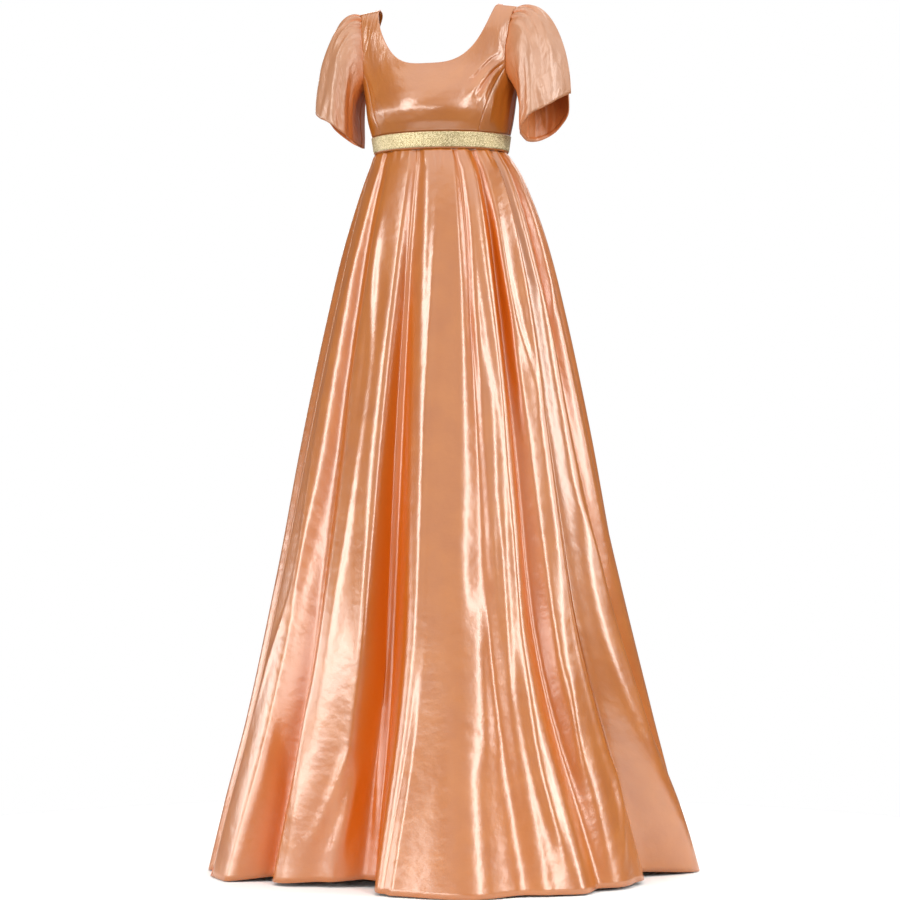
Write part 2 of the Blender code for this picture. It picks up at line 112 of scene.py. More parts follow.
# drop, half width, front reach, back reach and middle's x of the skirt's outermost form
SKIRT = np.array((
    (0.2475, 0.1145, 0.0905, 0.0880, 0.0000),
    (0.2880, 0.1350, 0.1060, 0.1080, 0.0050),
    (0.3900, 0.1690, 0.1340, 0.1500, 0.0080),
    (0.5250, 0.2020, 0.1620, 0.1920, 0.0085),
    (0.6600, 0.2310, 0.1880, 0.2300, 0.0085),
    (0.9300, 0.2850, 0.2380, 0.3080, 0.0090),
    (1.1990, 0.3440, 0.2900, 0.3900, 0.0110),
    (1.3340, 0.3810, 0.3240, 0.4340, 0.0125),
    (1.4550, 0.4120, 0.3550, 0.4650, 0.0140),
))

# The big folds. Each row is one crest or valley: its turn at four drops (waist, hip, knee, hem), then how
# far it lies out from the skirt's outermost form at each, in mm.
FOLD_DROPS = np.array((0.2475, 0.4900, 0.9800, 1.4550))
FOLDS = np.array((
    (-62.0, -56.0, -58.0, -61.0, 0.0, 0.0, 0.0, 0.0),
    (-46.0, -48.0, -46.0, -50.0, 0.0, 0.0, 0.0, 0.0),
    (-40.0, -38.0, -35.0, -43.0, -4.0, -14.0, -28.0, -72.0),
    (-30.0, -25.0, -26.0, -35.0, 0.0, 0.0, -2.0, -42.0),
    (-14.0, -13.5, -13.0, -23.0, 0.0, 0.0, -4.0, -80.0),
    (-8.0, -8.0, -7.5, -13.0, -4.0, -14.0, -46.0, -118.0),
    (-6.5, -6.0, -5.5, -9.5, -4.0, -15.0, -48.0, -116.0),
    (4.0, 4.5, 6.0, -1.5, 0.0, -1.0, -2.0, -30.0),
    (12.0, 9.5, 9.5, 2.0, 0.0, 0.0, 0.0, -18.0),
    (20.0, 20.0, 18.0, 19.0, 0.0, 0.0, 0.0, 0.0),
    (25.0, 26.0, 27.0, 33.0, -3.0, -8.0, -9.0, -28.0),
    (30.0, 30.0, 32.0, 40.0, 0.0, -1.0, -1.0, -22.0),
    (34.5, 37.0, 37.0, 47.0, 0.0, 0.0, 0.0, -18.0),
    (41.0, 42.0, 43.0, 56.0, -6.0, -15.0, -20.0, -46.0),
    (47.0, 48.0, 50.5, 63.0, -1.0, 0.0, 0.0, -40.0),
    (58.0, 57.5, 57.0, 75.0, 0.0, 0.0, -3.0, -54.0),
    (62.0, 61.5, 62.0, 92.0, -5.0, -12.0, -20.0, -88.0),
    (68.0, 70.0, 76.0, 109.0, 0.0, 0.0, 0.0, 6.0),
    (76.0, 77.0, 87.0, 117.0, -7.0, -15.0, -16.0, -42.0),
    (85.0, 87.0, 98.0, 124.0, 0.0, 0.0, 0.0, 0.0),
    (95.0, 97.0, 108.0, 131.0, -6.0, -11.0, -26.0, -62.0),
    (106.0, 108.0, 118.0, 139.0, 0.0, 0.0, 0.0, 0.0),
    (116.0, 118.0, 127.0, 146.0, -6.0, -12.0, -24.0, -66.0),
    (128.0, 130.0, 138.0, 155.0, 0.0, 0.0, 0.0, 0.0),
    (139.0, 141.0, 148.0, 163.0, -6.0, -10.0, -20.0, -52.0),
    (151.0, 152.0, 158.0, 170.0, 0.0, 0.0, 0.0, 0.0),
    (162.0, 163.0, 168.0, 178.0, -7.0, -13.0, -30.0, -76.0),
    (173.0, 174.0, 179.0, 187.0, 0.0, 0.0, 0.0, 0.0),
    (184.0, 185.0, 189.0, 195.0, -6.0, -10.0, -18.0, -46.0),
    (195.0, 196.0, 200.0, 204.0, 0.0, 0.0, 0.0, 0.0),
    (206.0, 207.0, 210.0, 213.0, -6.0, -12.0, -28.0, -70.0),
    (217.0, 218.0, 221.0, 223.0, 0.0, 0.0, 0.0, 0.0),
    (228.0, 229.0, 231.0, 232.0, -5.0, -10.0, -20.0, -54.0),
    (240.0, 241.0, 243.0, 243.0, 0.0, 0.0, 0.0, 0.0),
    (251.0, 252.0, 254.0, 253.0, -5.0, -10.0, -24.0, -60.0),
    (262.0, 264.0, 265.0, 264.0, 0.0, 0.0, 0.0, 0.0),
    (272.0, 275.0, 275.0, 274.0, -5.0, -8.0, -18.0, -44.0),
    (282.0, 286.0, 286.0, 284.0, 0.0, 0.0, 0.0, 0.0),
    (290.0, 295.0, 294.0, 292.0, -4.0, -6.0, -12.0, -28.0),
))
RIGHT_SEAM, LEFT_SEAM, BACK_SEAM = 0, 16, 27
# Above 1, crests are rounder than the valleys between them.
CREST_POWER = 1.25
COLUMNS_PER_FOLD = 14
SKIRT_ROWS = 150
ROW_CROWDING = 1.15

# turn round the sleeve (0 at its top, 90 in front, 180 under the arm, 270 behind), hem x, y and drop,
# then the way that the cloth leaves the armhole: x, y, z
SLEEVE = np.array((
    (0.0, 0.2215, 0.000, 0.152, 0.950, 0.02, 0.33),
    (45.0, 0.2050, -0.046, 0.172, 0.850, -0.42, 0.25),
    (90.0, 0.1680, -0.066, 0.196, 0.760, -0.60, 0.05),
    (135.0, 0.1490, -0.042, 0.218, 0.550, -0.35, -0.50),
    (180.0, 0.1470, 0.014, 0.228, 0.400, 0.00, -0.85),
    (225.0, 0.1560, 0.050, 0.224, 0.550, 0.35, -0.50),
    (270.0, 0.1800, 0.062, 0.210, 0.760, 0.60, 0.05),
    (315.0, 0.2100, 0.044, 0.182, 0.850, 0.42, 0.25),
    (360.0, 0.2215, 0.000, 0.152, 0.950, 0.02, 0.33),
))
# name, side of the body, how far the cap puffs out, and how much lower and further out its outer hem hangs
SLEEVES = (
    ("left", 1.0, 0.057, 0.000, 0.005),
    ("right", -1.0, 0.041, 0.008, 0.002),
)
SLEEVE_START_OUT = 0.0021
SLEEVE_HANG = 0.42
CAP_GATHERS = 9
CAP_HALF_TURN = 62.0
CAP_GATHER_DEPTH = 0.0021
CAP_GATHER_LENGTH = 0.35
CAP_FADE = 0.25
# Cap columns of the part, counted from the top of the arm, at each petal's tip and at the gathers' end.
FRONT_TIP, BACK_TIP, CAP_END = 13, 9, 14
CAP_COLUMN = 2 * CAP_HALF_TURN / (3 * CAP_GATHERS)
PETAL_TIP = 0.12
PETAL_UNDERLAY = 0.0040
UNDERLAY_STARTS, UNDERLAY_FULL = 252.0, 296.0
SLEEVE_ROWS = 44


def smoothstep(share):
    share = np.clip(share, 0.0, 1.0)
    return share * share * (3.0 - 2.0 * share)


def lerp(a, b, share):
    return a + (b - a) * share


def smooth_curve(knots, values, at):
    """A smooth curve through the values at the knots, with no overshoot."""
    at = np.clip(at, knots[0], knots[-1])
    i = np.clip(np.searchsorted(knots, at, side="right") - 1, 0, len(knots) - 2)
    slopes = np.diff(values) / np.diff(knots)
    both = slopes[:-1] * slopes[1:]
    inner = np.where(both > 0.0, 2.0 * both / np.where(both > 0.0, slopes[:-1] + slopes[1:], 1.0), 0.0)
    tangents = np.concatenate([slopes[:1], inner, slopes[-1:]])
    span = knots[i + 1] - knots[i]
    s = (at - knots[i]) / span
    start = values[i] * (1 + 2 * s) * (1 - s) ** 2 + tangents[i] * span * s * (1 - s) ** 2
    return start + values[i + 1] * s * s * (3 - 2 * s) + tangents[i + 1] * span * s * s * (s - 1)


def table_curve(table, column, at):
    return smooth_curve(table[:, 0], table[:, column], at)


def unit(vectors):
    return vectors / np.maximum(np.linalg.norm(vectors, axis=-1, keepdims=True), 1e-12)


def torso_size(column, drop):
    return smooth_curve(np.sqrt(TORSO[:, 0]), TORSO[:, column], np.sqrt(drop))


def torso_point(turn, drop):
    """Points of the bodice's middle surface."""
    angle = np.radians(turn)
    depth = np.where(np.cos(angle) > 0.0, torso_size(3, drop), torso_size(4, drop))
    x = torso_size(1, drop) * np.sin(angle)
    past_neck = np.maximum(0.0, np.abs(x) - NECK_HALF_WIDTH)
    slope = SHOULDER_SLOPE * past_neck * (1.0 - smoothstep(drop / ARMHOLE_DROP))
    return np.stack([x, torso_size(2, drop) - depth * np.cos(angle), -drop - slope], axis=-1)


def neck_edge(share, drop, behind):
    """Turn and drop of the neckline, from the centre (0) to the shoulder (1)."""
    angle = np.radians(90.0 * share)
    low = np.maximum(drop * np.maximum(np.cos(angle), 0.0) ** NECK_FLOOR_POWERS[behind], TINY)
    x = NECK_HALF_WIDTH * np.sin(angle) ** NECK_SIDE_POWERS[behind]
    if behind:
        x = x * (1.0 + NECK_BACK_SPREAD / NECK_HALF_WIDTH * smoothstep(low / NECK_SPREAD_DROP))
    turn = np.degrees(np.arcsin(x / torso_size(1, low)))
    return (180.0 - turn if behind else turn), low


def armhole_edge(round_turn, behind):
    """Turn and drop of the armhole, from the shoulder (0) to the underarm (180)."""
    low = np.maximum(ARMHOLE_DROP * (1.0 - np.cos(np.radians(round_turn))) / 2.0, TINY)
    turn = table_curve(ARMHOLE, 2 if behind else 1, round_turn)
    return (180.0 - turn if behind else turn), low


# grid columns along the front's waist, princess seam and armhole, and along the back's waist, side and armhole
FRONT_COLUMNS = (48, 30, 45)
BACK_COLUMNS = (60, 25, 60)


def front_outer_edge():
    """The middle front's edge from the centre of the waistband, up the princess seam and the armhole."""
    waist, seam, hole = FRONT_COLUMNS
    band_turn = np.linspace(0.0, PRINCESS_WAIST_TURN, waist, endpoint=False)
    up = np.linspace(1.0, 0.0, seam, endpoint=False)
    top_turn, top = armhole_edge(np.array([PRINCESS_ARMHOLE_TURN]), False)
    hole_turn, hole_drop = armhole_edge(np.linspace(PRINCESS_ARMHOLE_TURN, 0.0, hole + 1), False)
    turns = np.concatenate([band_turn, lerp(top_turn, PRINCESS_WAIST_TURN, up), hole_turn])
    return turns, np.concatenate([np.full(waist, BAND_TOP), lerp(top, BAND_TOP, up), hole_drop])


def back_outer_edge():
    """The back's edge from the centre of the waistband, up the side seam and the armhole."""
    waist, seam, hole = BACK_COLUMNS
    band_turn = np.linspace(180.0, 90.0, waist, endpoint=False)
    side_drop = np.linspace(BAND_TOP, ARMHOLE_DROP, seam, endpoint=False)
    hole_turn, hole_drop = armhole_edge(np.linspace(180.0, 0.0, hole + 1), True)
    turns = np.concatenate([band_turn, np.full(seam, 90.0), hole_turn])
    return turns, np.concatenate([np.full(waist, BAND_TOP), side_drop, hole_drop])


def neck_to_edge(edge, neck_drop, behind, rows):
    """Turn and drop of a grid that runs from the neckline (first row) to the outer edge (last row)."""
    turns, drops = edge
    neck_turns, neck_drops = neck_edge(np.linspace(0.0, 1.0, len(turns)), neck_drop, behind)
    down = np.linspace(0.0, 1.0, rows)[None, :]
    turn = lerp(neck_turns[:, None], turns[:, None], down)
    return turn, lerp(np.sqrt(neck_drops)[:, None], np.sqrt(drops)[:, None], down) ** 2


def grid_normals(points, ring=False):
    """Unit normals of a grid of points, outward where columns run anticlockwise seen from below."""
    across = np.gradient(points, axis=0)
    if ring:
        across = np.roll(points, -1, axis=0) - np.roll(points, 1, axis=0)
    return unit(np.cross(np.gradient(points, axis=1), across))


# the share of a crease's length over which each end fades out
CREASE_FADE = 0.3


def crease_lift(creases, turn, drop, metres_per_degree):
    """How far creases move the cloth out, in metres. Each crease is a height and a half width in mm and
    the points, as turn and drop, that it runs through. It fades towards both of its ends."""
    lift = np.zeros(np.broadcast(turn, drop).shape)
    for height, half_width, *route in creases:
        route = np.array(route)
        start, end = route[0, 1], route[-1, 1]
        along = (drop - start) / (end - start)
        across = (turn - smooth_curve(route[:, 1], route[:, 0], drop)) * metres_per_degree
        fade = smoothstep(along / CREASE_FADE) * smoothstep((1.0 - along) / CREASE_FADE)
        lift += height * MM * fade * np.exp(-((across / (half_width * MM)) ** 2))
    return lift


def fold_values(line, drop):
    """A crest's or valley's turn, and how far out it lies, in metres, for each drop."""
    row = FOLDS[line % len(FOLDS)]
    turn = smooth_curve(FOLD_DROPS, row[:4], drop) + 360.0 * (line // len(FOLDS))
    return turn, smooth_curve(FOLD_DROPS, row[4:], drop) * MM


def skirt_grid(first, last):
    """Points, turns and drops of a skirt panel between two fold lines."""
    drops = lerp(BAND_BOTTOM, HEM_DROP, np.linspace(0.0, 1.0, SKIRT_ROWS + 1) ** ROW_CROWDING)
    turns, outs = [], []
    for line in range(first, last):
        turn_a, out_a = fold_values(line, drops)
        turn_b, out_b = fold_values(line + 1, drops)
        shares = np.linspace(0.0, 1.0, COLUMNS_PER_FOLD + 1)[: None if line == last - 1 else -1, None]
        from_crest = smoothstep(shares) ** CREST_POWER
        to_crest = 1.0 - smoothstep(1.0 - shares) ** CREST_POWER
        turns.append(lerp(turn_a, turn_b, shares))
        outs.append(lerp(out_a, out_b, np.where(out_a > out_b, from_crest, to_crest)))
    turn, out = np.concatenate(turns), np.concatenate(outs)
    return skirt_form(turn, drops[None, :], out), turn, np.broadcast_to(drops, turn.shape)


def skirt_form(turn, drop, out):
    """Points of the skirt's middle surface, each this far out from its outermost form."""
    angle = np.radians(turn)
    width = table_curve(SKIRT, 1, drop)
    reach = np.where(np.cos(angle) > 0.0, table_curve(SKIRT, 2, drop), table_curve(SKIRT, 3, drop))
    outward = unit(np.stack([reach * np.sin(angle), -width * np.cos(angle)], axis=-1))
    x = table_curve(SKIRT, 4, drop) + width * np.sin(angle) + outward[..., 0] * out
    y = -reach * np.cos(angle) + outward[..., 1] * out
    lift = HEM_LIFT * -out * (drop - BAND_BOTTOM) / (HEM_DROP - BAND_BOTTOM)
    return np.stack(np.broadcast_arrays(x, y, lift - drop), axis=-1)


def sleeve_form(form, turn, share):
    """Points of the left sleeve's middle surface, from the armhole (0) to the full hem (1)."""
    puff, lower, further = form
    turn = np.mod(turn, 360.0)
    from_top = np.minimum(turn, 360.0 - turn)
    outer_arm = (1.0 + np.cos(np.radians(turn))) / 2.0
    front, back = torso_point(*armhole_edge(from_top, False)), torso_point(*armhole_edge(from_top, True))
    start = np.where((turn > 180.0)[..., None], back, front)
    start = start + np.array([SLEEVE_START_OUT, 0.0, 0.0])
    way = np.stack([table_curve(SLEEVE, column, turn) for column in (4, 5, 6)], axis=-1)
    hem_x, hem_y, hem_drop = (table_curve(SLEEVE, column, turn) for column in (1, 2, 3))
    hem = np.stack([hem_x + further * outer_arm, hem_y, -hem_drop - lower * outer_arm], axis=-1)
    hang = SLEEVE_HANG * np.linalg.norm(hem - start, axis=-1)
    above = hem + hang[..., None] * np.array([0.0, 0.0, 1.0])
    left, s = (1.0 - share)[..., None], share[..., None]
    point = start * left**3 + (start + way * puff) * 3 * left**2 * s + above * 3 * left * s**2 + hem * s**3
    edge = smoothstep((CAP_HALF_TURN - from_top) / (CAP_FADE * CAP_HALF_TURN))
    wave = (1.0 - np.cos(np.pi * CAP_GATHERS * from_top / CAP_HALF_TURN)) / 2.0
    depth = CAP_GATHER_DEPTH * edge * wave * (1.0 - smoothstep(share / CAP_GATHER_LENGTH))
    angle = np.radians(turn)
    return point - depth[..., None] * np.stack([np.zeros_like(angle), -np.sin(angle), np.cos(angle)], axis=-1)


def run_lengths(points, axis):
    """Running length along a grid's rows or columns, from its first line."""
    steps = np.linalg.norm(np.diff(points, axis=axis), axis=-1)
    first = np.zeros_like(np.take(steps, [0], axis=axis))
    return np.concatenate([first, np.cumsum(steps, axis=axis)], axis=axis)


def at_length(lengths, values, wanted):
    """Each column's values at one running length."""
    return np.stack([
        np.stack([np.interp(wanted, lengths[i], values[i, :, c]) for c in range(3)])
        for i in range(len(values))
    ])


# a turned hem's bend in mm, as how far up the hem and how far inside the cloth, and where it then lies
HEM_BEND = ((0.0, 0.75), (0.5, 1.25))
HEM_INSIDE = 1.4
# A seam draws the edges of its pieces in and down into a groove, and its cloth turns inside.
SEAM_PULL = 0.45 * MM
SEAM_GROOVE_WIDTH = 1.6 * MM
SEAM_GROOVE_DEPTH = 0.7 * MM
SEAM_TURN_IN = 1.6 * MM


def with_hem(points, normals, width, last=True):
    """The grid with its first or last row turned to the inside, as a hem of this width."""
    if not last:
        points, normals = with_hem(points[:, ::-1], normals[:, ::-1], width)
        return points[:, ::-1], normals[:, ::-1]
    backwards = run_lengths(points[:, ::-1], 1)
    rows, facing = [points], [normals]
    for along, inside in (*HEM_BEND, (0.5 * width / MM, HEM_INSIDE), (width / MM, HEM_INSIDE)):
        normal = unit(at_length(backwards, normals[:, ::-1], along * MM))
        place = at_length(backwards, points[:, ::-1], along * MM)
        rows.append((place - normal * inside * MM)[:, None])
        facing.append(-normal[:, None])
    return np.concatenate(rows, axis=1), np.concatenate(facing, axis=1)


def seam_turned(points, normals, side):
    """The grid with one side drawn down into a seam's groove and turned in. Sides: first or last column
    (0, 1), first or last row (2, 3)."""
    axis, end = divmod(side, 2)
    lines = points if axis == 0 else points.transpose(1, 0, 2)
    facing = normals if axis == 0 else normals.transpose(1, 0, 2)
    if end:
        lines, facing = lines[::-1], facing[::-1]
    lines = lines.copy()
    away = run_lengths(lines, 0)
    inward = unit(lines[1] - lines[0])
    groove = np.exp(-away / SEAM_GROOVE_WIDTH) * SEAM_GROOVE_DEPTH
    lines -= facing * groove[..., None]
    lines[0] += inward * SEAM_PULL
    turned = lines[0] - facing[0] * SEAM_TURN_IN
    lines = np.concatenate([turned[None], lines])
    facing = np.concatenate([facing[:1], facing])
    if end:
        lines, facing = lines[::-1], facing[::-1]
    if axis == 1:
        lines, facing = lines.transpose(1, 0, 2), facing.transpose(1, 0, 2)
    return lines, facing


def shell(name, points, material, thickness=CLOTH, ring=False):
    """A closed thin sheet round a grid of points, with a UV map in metres along the cloth."""
    normals = grid_normals(points, ring)
    columns, rows = points.shape[:2]
    count = columns * rows
    places = np.concatenate([
        (points + normals * thickness / 2).reshape(-1, 3),
        (points - normals * thickness / 2).reshape(-1, 3),
    ])
    index = np.arange(count).reshape(columns, rows)
    near = index if ring else index[:-1]
    far = np.roll(index, -1, axis=0) if ring else index[1:]
    outer = np.stack([near[:, :-1], near[:, 1:], far[:, 1:], far[:, :-1]], axis=-1).reshape(-1, 4)
    rims = [np.stack([near[:, 0], far[:, 0], far[:, 0] + count, near[:, 0] + count], axis=-1)]
    rims.append(np.stack([far[:, -1], near[:, -1], near[:, -1] + count, far[:, -1] + count], axis=-1))
    if not ring:
        first, last = index[0], index[-1]
        rims.append(np.stack([first[1:], first[:-1], first[:-1] + count, first[1:] + count], axis=-1))
        rims.append(np.stack([last[:-1], last[1:], last[1:] + count, last[:-1] + count], axis=-1))
    faces = np.concatenate([outer, outer[:, ::-1] + count, *rims])
    mesh = bpy.data.meshes.new(name)
    mesh.from_pydata(places.tolist(), [], faces.tolist())
    across = run_lengths(points, 0)
    across -= across[len(across) // 2]
    along = run_lengths(points, 1)
    uv = np.tile(np.stack([across, along], axis=-1).reshape(-1, 2), (2, 1))
    mesh.uv_layers.new(name="cloth").data.foreach_set("uv", uv[faces.reshape(-1)].ravel())
    mesh.materials.append(material)
    mesh.shade_smooth()
    piece = bpy.data.objects.new(name, mesh)
    bpy.context.scene.collection.objects.link(piece)
    return piece


def sewn(piece, node):
    """Hangs a cloth piece on the root body and hides its node's CAD part, whose place it takes."""
    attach(piece, "root")
    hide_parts(node)


def facing_out(points, middle, *fields):
    """The grid and its fields, with columns reversed where its normals would face the middle."""
    inward = (grid_normals(points) * (points - np.array(middle)))[..., :2].sum() < 0.0
    return [grid[::-1] for grid in (points, *fields)] if inward else [points, *fields]


def lifted(points, lift):
    """The grid moved out by this much, and its new normals."""
    points = points + grid_normals(points) * lift[..., None]
    return points, grid_normals(points)


def sewn_up(points, normals, seams, hem=None, hem_width=0.0):
    """The grid with its hem and its seams turned in. Sides are numbered as in seam_turned."""
    if hem is not None:
        points, normals = with_hem(points, normals, hem_width, hem == 3)
    for side in seams:
        points, normals = seam_turned(points, normals, side)
    return points


# Bodice

# height and half width in mm, then the turn and drop of the points that the crease runs through
FRONT_CREASES = (
    (3.4, 7.5, (57.0, 0.090), (47.0, 0.118), (36.0, 0.168)),
    (-1.4, 4.5, (57.5, 0.098), (50.0, 0.120), (42.0, 0.172)),
    (2.8, 6.5, (58.0, 0.104), (51.0, 0.130), (46.0, 0.178)),
    (1.2, 4.5, (52.0, 0.078), (42.0, 0.098), (33.0, 0.136)),
    (-1.0, 4.5, (50.0, 0.086), (41.0, 0.108), (33.0, 0.150)),
    (2.0, 9.0, (-64.0, 0.184), (-40.0, 0.181), (0.0, 0.178), (24.0, 0.175), (38.0, 0.168)),
    (-1.3, 6.0, (-60.0, 0.170), (-36.0, 0.167), (0.0, 0.164), (22.0, 0.161), (30.0, 0.156)),
    (0.6, 9.0, (2.0, 0.110), (4.0, 0.130), (5.0, 0.150)),
    (1.3, 5.2, (-55.0, 0.105), (-49.0, 0.135), (-40.0, 0.176)),
    (-0.9, 4.5, (-54.0, 0.118), (-48.0, 0.146), (-42.0, 0.182)),
    (0.9, 6.0, (-40.0, 0.150), (-35.0, 0.180), (-33.0, 0.212)),
    (0.9, 6.0, (47.0, 0.020), (45.0, 0.050), (47.0, 0.085)),
    (-0.7, 6.0, (-48.0, 0.018), (-46.0, 0.050), (-49.0, 0.080)),
)
SIDE_CREASES = (
    (1.6, 6.0, (62.0, 0.118), (58.0, 0.160), (55.0, 0.216)),
    (-1.4, 6.0, (74.0, 0.122), (71.0, 0.165), (69.0, 0.214)),
    (1.0, 4.0, (84.0, 0.132), (81.0, 0.170), (80.0, 0.210)),
)
BACK_CREASES = (
    (1.4, 6.0, (118.0, 0.090), (126.0, 0.140), (131.0, 0.214)),
    (-1.1, 5.0, (124.0, 0.105), (133.0, 0.150), (139.0, 0.210)),
    (1.2, 5.0, (112.0, 0.110), (113.0, 0.150), (112.0, 0.205)),
    (0.8, 6.0, (150.0, 0.125), (151.0, 0.165), (155.0, 0.212)),
    (-0.8, 4.0, (100.0, 0.140), (103.0, 0.170), (104.0, 0.210)),
    (0.9, 4.0, (168.0, 0.122), (170.0, 0.160), (169.0, 0.206)),
)
TORSO_METRES_PER_DEGREE = 2.25 * MM
NECK_HEM = 9.0 * MM
FRONT_ROWS, BACK_ROWS = 60, 50
SIDE_FRONT_COLUMNS, SIDE_FRONT_ROWS = 31, 41


def bodice_cloth(name, turn, drop, creases, material, seams, hem=None):
    """A creased piece of the bodice on a grid of turns and drops, with its seams and hem turned in."""
    points = torso_point(turn, drop)
    points, turn, drop = facing_out(points, (0.0, 0.0, 0.0), turn, drop)
    lift = crease_lift(creases, turn, drop, TORSO_METRES_PER_DEGREE)
    points, normals = lifted(points, lift)
    return shell(name, sewn_up(points, normals, seams, hem, NECK_HEM), material)


def mirrored_fields(turn, drop):
    return -turn[::-1], drop[::-1]


def centre_front(material):
    turn, drop = neck_to_edge(front_outer_edge(), NECK_FRONT_DROP, False, FRONT_ROWS)
    right_turn, right_drop = mirrored_fields(turn, drop)
    turn, drop = np.concatenate([right_turn[:-1], turn]), np.concatenate([right_drop[:-1], drop])
    piece = bodice_cloth("centre_front", turn, drop, FRONT_CREASES, material, (0, 1, 3), hem=2)
    sewn(piece, "bodice_centre_front")


def side_fronts(material):
    shares = np.linspace(0.0, 1.0, SIDE_FRONT_COLUMNS)[:, None]
    down = np.linspace(0.0, 1.0, SIDE_FRONT_ROWS)[None, :]
    seam_turn, seam_top = armhole_edge(np.array([PRINCESS_ARMHOLE_TURN]), False)
    top_turn, top = armhole_edge(lerp(PRINCESS_ARMHOLE_TURN, 180.0, shares), False)
    turn = lerp(top_turn, lerp(PRINCESS_WAIST_TURN, 90.0, shares), down)
    drop = lerp(top, BAND_TOP, down)
    for side, (turns, drops) in (("left", (turn, drop)), ("right", mirrored_fields(turn, drop))):
        creases = SIDE_CREASES if side == "left" else flipped(SIDE_CREASES)
        piece = bodice_cloth(f"side_front_{side}", turns, drops, creases, material, (0, 1, 2, 3))
        sewn(piece, f"bodice_side_front_{side}")


def flipped(creases):
    """The other side's creases."""
    return [(height, width, *[(-turn, drop) for turn, drop in route]) for height, width, *route in creases]


def backs(material):
    turn, drop = neck_to_edge(back_outer_edge(), NECK_BACK_DROP, True, BACK_ROWS)
    for side, (turns, drops) in (("left", (turn, drop)), ("right", mirrored_fields(turn, drop))):
        creases = BACK_CREASES if side == "left" else flipped(BACK_CREASES)
        piece = bodice_cloth(f"back_{side}", turns, drops, creases, material, (0, 1, 3), hem=2)
        sewn(piece, f"bodice_back_{side}")


# Waistband and ribbon

BAND_COLUMNS = 360
WAISTBAND_ROWS, RIBBON_ROWS = 12, 14
WAISTBAND_INSET = 0.3 * MM
WAISTBAND_THICKNESS = 1.2 * MM
RIBBON_THICKNESS = 0.7 * MM
# depth in mm, how many go round the ribbon, and where they start
RIPPLES = ((0.16, 23, 1.0), (0.12, 41, 2.0))
# the two rows of stitches, as shares of the way down the ribbon, and the dip in mm that they make
STITCH_ROWS = (0.08, 0.92)
STITCH_REACH = 0.04
STITCH_DIP = 0.25


def level(normals):
    flat = normals.copy()
    flat[..., 2] = 0.0
    return unit(flat)


def band_grid(top, bottom, rows, out):
    """A ring of points round the body between two drops, this far out from the bodice's surface."""
    turn = np.linspace(0.0, 360.0, BAND_COLUMNS, endpoint=False)[:, None]
    points = torso_point(turn, np.linspace(top, bottom, rows)[None, :])
    return points + level(grid_normals(points, True)) * out


def waistband(material):
    points = band_grid(BAND_TOP + WAISTBAND_INSET, BAND_BOTTOM - WAISTBAND_INSET, WAISTBAND_ROWS, 0.0)
    piece = shell("waistband_cloth", points, material, thickness=WAISTBAND_THICKNESS, ring=True)
    sewn(piece, "waistband")


def ribbon(material):
    points = band_grid(RIBBON_TOP, RIBBON_BOTTOM, RIBBON_ROWS, RIBBON_OUT)
    turn = np.linspace(0.0, 2.0 * np.pi, BAND_COLUMNS, endpoint=False)[:, None]
    down = np.linspace(0.0, 1.0, RIBBON_ROWS)[None, :]
    # The ribbon ripples a little between its two rows of stitches, and its edges dip where it is sewn.
    ripple = sum(depth * np.sin(count * turn + start) for depth, count, start in RIPPLES)
    dip = STITCH_DIP * sum(np.exp(-(((down - row) / STITCH_REACH) ** 2)) for row in STITCH_ROWS)
    out = (ripple * np.sin(np.pi * down) - dip) * MM
    points = points + level(grid_normals(points, True)) * out[..., None]
    piece = shell("gold_ribbon", points, material, thickness=RIBBON_THICKNESS, ring=True)
    sewn(piece, "gold_trim")


# Skirt

VIEW_ANGLE = 17.5
